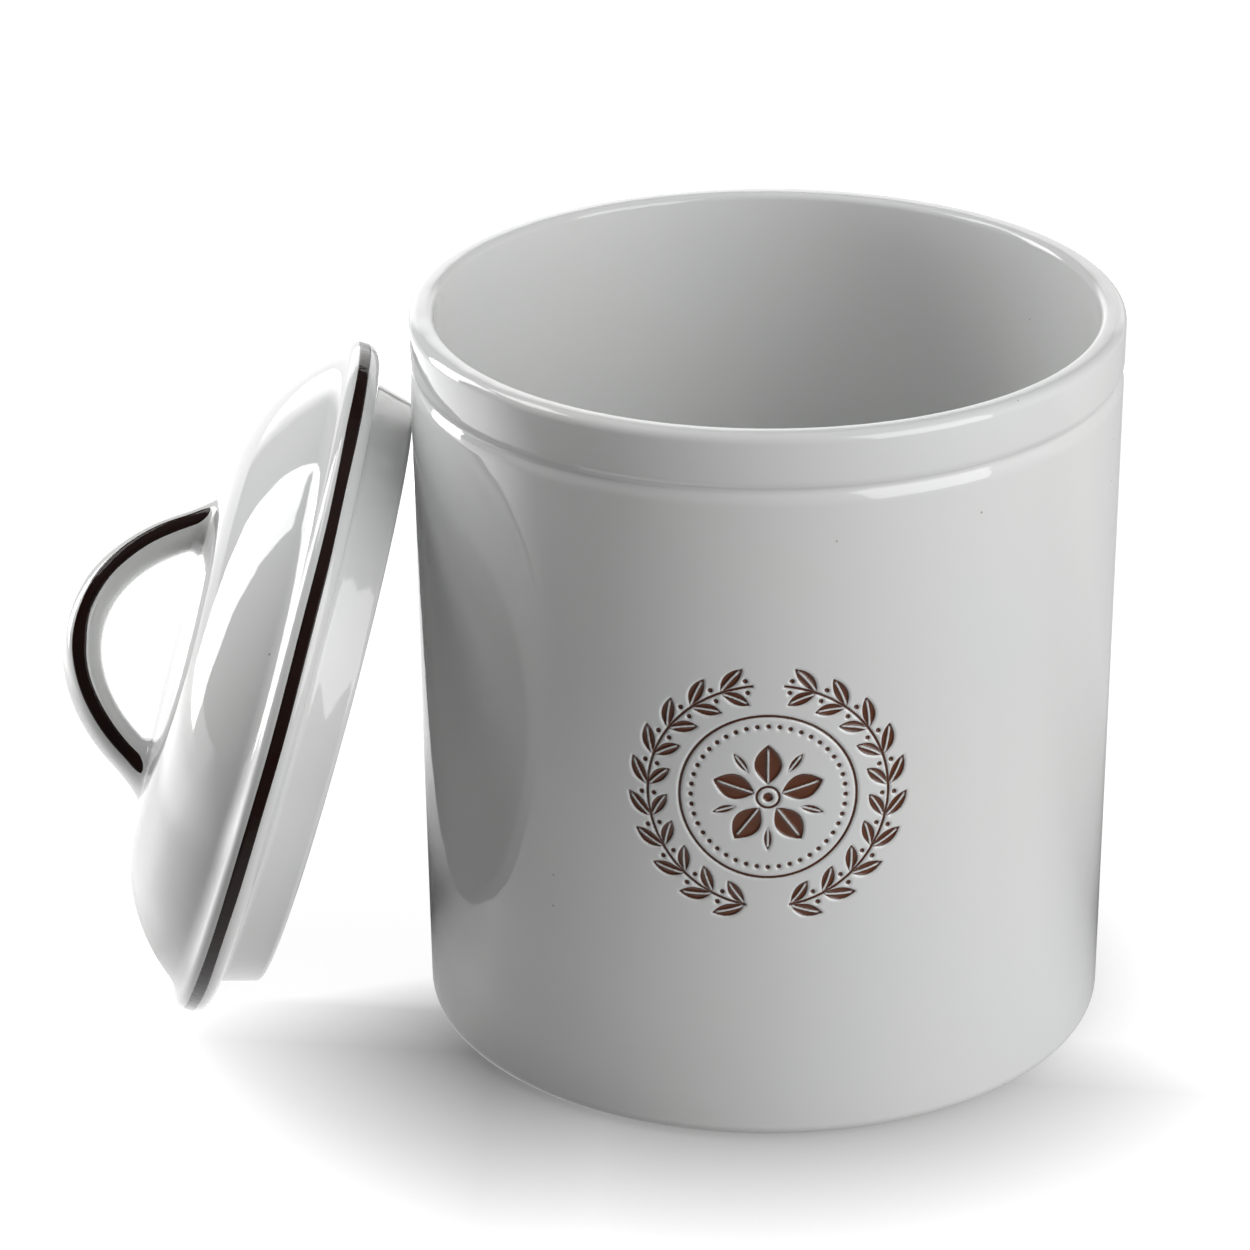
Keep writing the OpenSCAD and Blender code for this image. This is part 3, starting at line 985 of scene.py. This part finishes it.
# %% Brown paint
LINE_DARK = (0.0080, 0.0036, 0.0029, 1)
LINE_RED = (0.0230, 0.0085, 0.0062, 1)
PAINT_IOR = 1.27
PAINT_ROUGH = 0.06
STREAK_SCALE = 130
GRAIN_SCALE, GRAIN_BUMP, GRAIN_H = 500, 0.3, 0.0003

line_paint, bench, shader = new_finish("brown_paint", PAINT_IOR)
place = object_place(bench)
streaks = noise(bench, place, STREAK_SCALE, 3)
colour = mix_colours(bench, streaks, LINE_DARK, LINE_RED)
bump = bumped(bench, noise(bench, place, GRAIN_SCALE), GRAIN_BUMP, GRAIN_H)
feed(bench, shader, Base_Color=colour, Roughness=PAINT_ROUGH + streaks * PAINT_ROUGH, Normal=bump)
for piece in bpy.data.objects:
    if "paint" in piece.name:
        piece.data.materials.append(line_paint)
        print("painted:", piece.name)

# %% [markdown]
# ## The bare foot
#
# A potter wipes the glaze off the ring that stands on the kiln shelf, or it would stick. The bare
# stoneware is a sandy beige with fine grog, and grey scuffs where it slides over a table. The
# solid model's own ring has the right shape, so it stays and only gets this finish.

# %% Bare stoneware
CLAY_PALE = (0.60, 0.51, 0.38, 1)
CLAY_DARK = (0.36, 0.29, 0.21, 1)
CLAY_IOR = 1.45
CLAY_ROUGH, SCUFF_ROUGH = 0.75, 0.15
GROG_SCALE, GROG_ROUGH, GROG_BUMP, GROG_H = 900, 0.7, 0.5, 0.0004
SCUFF_SCALE = 60
GROG_SHARE, SCUFF_SHARE = 0.6, 0.3

bare_clay, bench, shader = new_finish("bare_stoneware", CLAY_IOR)
place = object_place(bench)
grog = noise(bench, place, GROG_SCALE, 4, GROG_ROUGH)
scuff = noise(bench, place, SCUFF_SCALE, 3)
colour = mix_colours(bench, grog * GROG_SHARE + scuff * SCUFF_SHARE, CLAY_PALE, CLAY_DARK)
bump = bumped(bench, grog, GROG_BUMP, GROG_H)
feed(bench, shader, Base_Color=colour, Roughness=CLAY_ROUGH + scuff * SCUFF_ROUGH, Normal=bump)
foot = frame["nodes"]["bin_foot_ring"]
foot.data.materials.clear()
foot.data.materials.append(bare_clay)
print("foot ring's finish:", foot.data.materials[0].name)

# %% [markdown]
# ## Floor and background
# The pots were photographed on a white sheet that takes their shadow. A sheet that is lit until it
# is plain white also throws much light up at the glaze, and shows as a pale veil in its gloss. In
# a studio black cards are held in front of the pots to stop that. Here one material does it: the
# camera, the gloss and the scattered light each see the sheet glow with their own strength. The
# sheet's matt part keeps a real shadow, the camera's glow fades near the feet and paints more of
# it, and the glow that the gloss sees is painted reflection.

# %% Lay the sheet
FLOOR_HALF = 8.0
FLOOR_Z = -0.0002

floor_mesh = bpy.data.meshes.new("floor")
square = [(-1, -1), (1, -1), (1, 1), (-1, 1)]
corners = [(x * FLOOR_HALF, y * FLOOR_HALF, FLOOR_Z) for x, y in square]
floor_mesh.from_pydata(corners, [], [(0, 1, 2, 3)])
floor = bpy.data.objects.new("floor", floor_mesh)
bpy.context.scene.collection.objects.link(floor)

sheet = bpy.data.materials.new("white_sheet")
sheet.use_nodes = True
sheet.node_tree.nodes.clear()
floor.data.materials.append(sheet)
print("the floor is", 2 * FLOOR_HALF, "m wide")

# %% [markdown]
# ### The sheet as the camera sees it, with a painted shadow
#
# Round the feet the glow fades, which paints the pots' soft shadow on the sheet. It starts low at
# the bin's foot and grows with the distance from it, up to nearly plain white. The painted shadow
# isn't the same all round: it is painted deeper on the left, where the lid stands, and painted
# light brightens the strip behind the feet, above all between the lid and the bin. Each part is a
# ramp along one measure, whose two ends are given as a pair, in metres.

# %% What the camera sees
FOOT_X, FOOT_R = -0.008, 0.1
SLANT = 0.1
LEFT_PART = (0.050, 0.085)
BEHIND = (-0.062, -0.030)
BETWEEN = (-0.036, -0.006)
GLOW_FOOT = 0.30
GLOW_RISE = 8.5
GLOW_LEAST = 0.1
GLOW_FAR = 0.93
PAINTED_LIGHT_BEHIND = 0.30
PAINTED_LIGHT_BETWEEN = 0.55
SHADE_LEFT = 0.12


def rise(wire, start, end):
    """0 while the wire is below start, 1 above end, and a straight ramp between."""
    return held((wire - start) / (end - start), 0, 1)


bench = Wire(sheet.node_tree)
x_wire, y_wire = parts_of(bench, object_place(bench))[:2]
# Painted shadow: the camera's glow is lowest at the bin's foot and grows with the distance from it.
# Painted light lifts it behind the feet and between the lid and the bin, painted shade lowers it on
# the left.
away = length_of(x_wire - FOOT_X, y_wire) - FOOT_R
slanted = y_wire + x_wire * SLANT
left_painted_shade_and_light = rise(slanted, *BETWEEN) * PAINTED_LIGHT_BETWEEN - SHADE_LEFT
seen_glow_painted_shadow = (GLOW_FOOT + away * GLOW_RISE + rise(slanted, *BEHIND) * PAINTED_LIGHT_BEHIND
             + rise(-1 * x_wire, *LEFT_PART) * left_painted_shade_and_light)
seen_glow_painted_shadow = held(seen_glow_painted_shadow, GLOW_LEAST, GLOW_FAR)
print("glow at the foot and far away:", GLOW_FOOT, GLOW_FAR)

# %% [markdown]
# ### The sheet in the gloss, a painted reflection
#
# The wall of a straight pot mirrors the floor close to its foot, and the lid's curves mirror it
# further away. So the gloss has a sheet of its own, a painted reflection: a glowing patch before
# the bin, brighter on the left and dimmer close to the foot, a wide glowing part on the left with a
# brighter ring far out and a dimmer patch, and a faint one at the right behind. What lies outside
# them is dark, as under black cards.

# %% What the gloss sees in front of the bin
NEAR_ENDS = (0.07, 0.30)
FRONT_ENDS = (-0.04, 0.04)
FOOT_ENDS = (0, 0.03)
NEAR_LEFT = (0, 0.08)
MIRROR_NEAR = 1.3
MIRROR_FRONT = 0.65
MIRROR_FOOT = 0.55

# Painted reflection: a glowing patch before the bin that only the gloss sees, dimmer near the foot
# as a painted contact shade and brighter on the left.
near = (1 - rise(away, *NEAR_ENDS)) * (1 - rise(y_wire, *FRONT_ENDS))
near = near * (MIRROR_FOOT + rise(away, *FOOT_ENDS) * (1 - MIRROR_FOOT))
near = near * (MIRROR_FRONT + rise(-1 * x_wire, *NEAR_LEFT) * (MIRROR_NEAR - MIRROR_FRONT))
print("mirrored in front, right and left:", MIRROR_FRONT, MIRROR_NEAR)

# %% What the gloss sees at the sides
SIDE_BACK = (-0.20, 0.05)
SIDE_LEFT = (-0.05, 0.05)
SIDE_STARTS = (0.05, 0.14)
RING_STARTS = (0.30, 0.38)
RING_ENDS = (0.50, 0.80)
MIRROR_SIDE = 1.5
MIRROR_FAR = 2.5
PATCH_SLANT = 0.9
PATCH_ENDS = (-0.23, -0.15)
PATCH_DIM = 0.35
RIGHT_ENDS = (0.08, 0.18)
RIGHT_BACK = (0.05, 0.20)
MIRROR_RIGHT = 0.45

# Painted reflection: glowing parts on the left and at the right behind, which only the gloss sees.
sideways = rise(y_wire, *SIDE_BACK) * rise(-1 * x_wire, *SIDE_LEFT) * rise(away, *SIDE_STARTS)
ring = rise(away, *RING_STARTS) - rise(away, *RING_ENDS)
patch = rise(y_wire + x_wire * PATCH_SLANT, *PATCH_ENDS) * (1 - ring)
side_glow = (MIRROR_SIDE + ring * (MIRROR_FAR - MIRROR_SIDE)) * (1 - patch * PATCH_DIM)
right_side = rise(x_wire, *RIGHT_ENDS) * rise(y_wire, *RIGHT_BACK)
painted_reflection_glow = np.maximum(near, sideways * side_glow) + right_side * MIRROR_RIGHT
print("mirrored on the left, near and far:", MIRROR_SIDE, MIRROR_FAR)

# %% [markdown]
# A Light Path node tells what kind of ray asks. The sheet is a matt surface with a glow added to
# it, and the glow's strength is picked by the kind of ray.

# %% Give each kind of ray its own glow
SHEET_TONE = 0.22
GLOW_SCATTERED = 0.11


def seen_plainly(bench):
    """1 for rays that come straight from the camera or through something clear, 0 for others."""
    return np.maximum(bench.node("ShaderNodeLightPath", output="Is Camera Ray"),
                      bench.node("ShaderNodeLightPath", output="Is Transmission Ray"))


plainly = seen_plainly(bench)
mirrored = bench.node("ShaderNodeLightPath", output="Is Glossy Ray")
scattered = 1 - np.maximum(plainly, mirrored)
# The camera sees the glow with its painted shadow, the gloss the painted reflection, and scattered
# rays an even glow.
glow = plainly * seen_glow_painted_shadow + mirrored * painted_reflection_glow + scattered * GLOW_SCATTERED
matt = bench.node("ShaderNodeBsdfDiffuse", None, {"Color": (SHEET_TONE,) * 3 + (1,)})
lit = bench.node("ShaderNodeEmission", None, {"Strength": glow})
both = bench.node("ShaderNodeAddShader", None, {0: matt, 1: lit})
output = sheet.node_tree.nodes.new("ShaderNodeOutputMaterial")
sheet.node_tree.links.new(both.socket, output.inputs["Surface"])
print("nodes in the floor:", len(sheet.node_tree.nodes))

# %% [markdown]
# ## The room that the glaze mirrors
#
# Glossy white ware is mostly a picture of its room. Here the room is nearly dark, with a lit white
# backdrop behind the pots that is brighter on the left, a paler ceiling and a pale wall on the
# right. A faint wall in front is seen by the gloss alone. All are functions of the direction in
# which a ray leaves, and each pair of numbers is where one of them starts and where it is full.
# The camera itself sees plain white.

# %% The room
ROOM = 0.05
BACKDROP_LEFT, BACKDROP_RIGHT = 2.2, 1.2
BACKDROP_EDGE = (0.84, 0.90)
BACKDROP_SIDES = (-0.15, 0.15)
BACKDROP_TOP, TOP_SOFT = 0.42, 0.08
CEILING, CEILING_EDGE = 0.30, (0.75, 0.9)
RIGHT_WALL, RIGHT_EDGE = 0.30, (0.1, 0.9)
FRONT_WALL, FRONT_EDGE = 0.12, (0.3, 0.6)
PLAIN_WHITE = 1.05

world = bpy.data.worlds.new("studio_room")
bpy.context.scene.world = world
world.use_nodes = True
bench = Wire(world.node_tree)
direction = bench.node("ShaderNodeTexCoord", output=0)
right, back, up = parts_of(bench, direction)
backdrop = rise(back, *BACKDROP_EDGE) * rise(BACKDROP_TOP - up, 0, TOP_SOFT)
tone = BACKDROP_LEFT - rise(right, *BACKDROP_SIDES) * (BACKDROP_LEFT - BACKDROP_RIGHT)
room = ROOM + backdrop * tone
room = room + rise(up, *CEILING_EDGE) * CEILING + rise(right, *RIGHT_EDGE) * RIGHT_WALL
mirrored = bench.node("ShaderNodeLightPath", output="Is Glossy Ray")
# Painted reflection: a faint wall in front that only the gloss sees.
room = room + mirrored * rise(-1 * back, *FRONT_EDGE) * FRONT_WALL
strength = room + seen_plainly(bench) * (PLAIN_WHITE - room)
world_shader = world.node_tree.nodes["Background"]
world_shader.inputs["Color"].default_value = (1, 1, 1, 1)
world.node_tree.links.new(strength.socket, world_shader.inputs["Strength"])
print("nodes in the room:", len(world.node_tree.nodes))

# %% [markdown]
# ## The studio's lamps
#
# Gloss shows its lamps, so their shape and place matter as much as their strength. They were found
# from the highlights: a bright spot and the surface's slope there give the direction of the lamp.
# A large soft box at the right front gives the main light and the even fall across the bin. A
# tall one behind at the left draws the long white band on the dome, and lights the bin's left
# edge. A small, wide one high above the lid's left whitens the top of the dome.

# %% Soft boxes


def soft_box(name, at, aim, width, height, radiance):
    """A rectangular lamp at a place, turned towards a point. Its watts give it that radiance."""
    lamp = bpy.data.objects.new(name, bpy.data.lights.new(name, "AREA"))
    lamp.data.shape = "RECTANGLE"
    lamp.data.size, lamp.data.size_y = width, height
    lamp.data.energy = radiance * np.pi * width * height
    way = Vector(aim) - Vector(at)
    lamp.matrix_world = Matrix.Translation(at) @ way.to_track_quat("-Z", "Y").to_matrix().to_4x4()
    bpy.context.scene.collection.objects.link(lamp)
    print(f"{name}: {lamp.data.energy:.2f} W over {width} x {height} m")


def around(turn_deg, lift_deg, distance, centre):
    """A place at a distance from the centre. Turn 0 is in front, and 90 is to the right."""
    turn, lift = np.radians(turn_deg), np.radians(lift_deg)
    way = np.array([np.sin(turn) * np.cos(lift), -np.cos(turn) * np.cos(lift), np.sin(lift)])
    return tuple(np.array(centre) + distance * way)


MIDDLE = (0, 0, 0.12)
LID_MIDDLE = (-0.16, 0, 0.12)
soft_box("right_box", around(51, 22, 1.5, MIDDLE), MIDDLE,
         width=1.10, height=1.34, radiance=3.6)
soft_box("left_box", around(-118.5, 19, 1.1, LID_MIDDLE), LID_MIDDLE,
         width=0.41, height=1.073, radiance=8)
soft_box("high_box", around(-112, 58, 1.1, LID_MIDDLE), LID_MIDDLE,
         width=0.66, height=0.26, radiance=5.5)

# %% [markdown]
# ## The view
#
# Colours are shown through the Standard view. The visual model has to fill the same
# space as the solid one.

# %% Set the view
bpy.context.scene.view_settings.view_transform = "Standard"
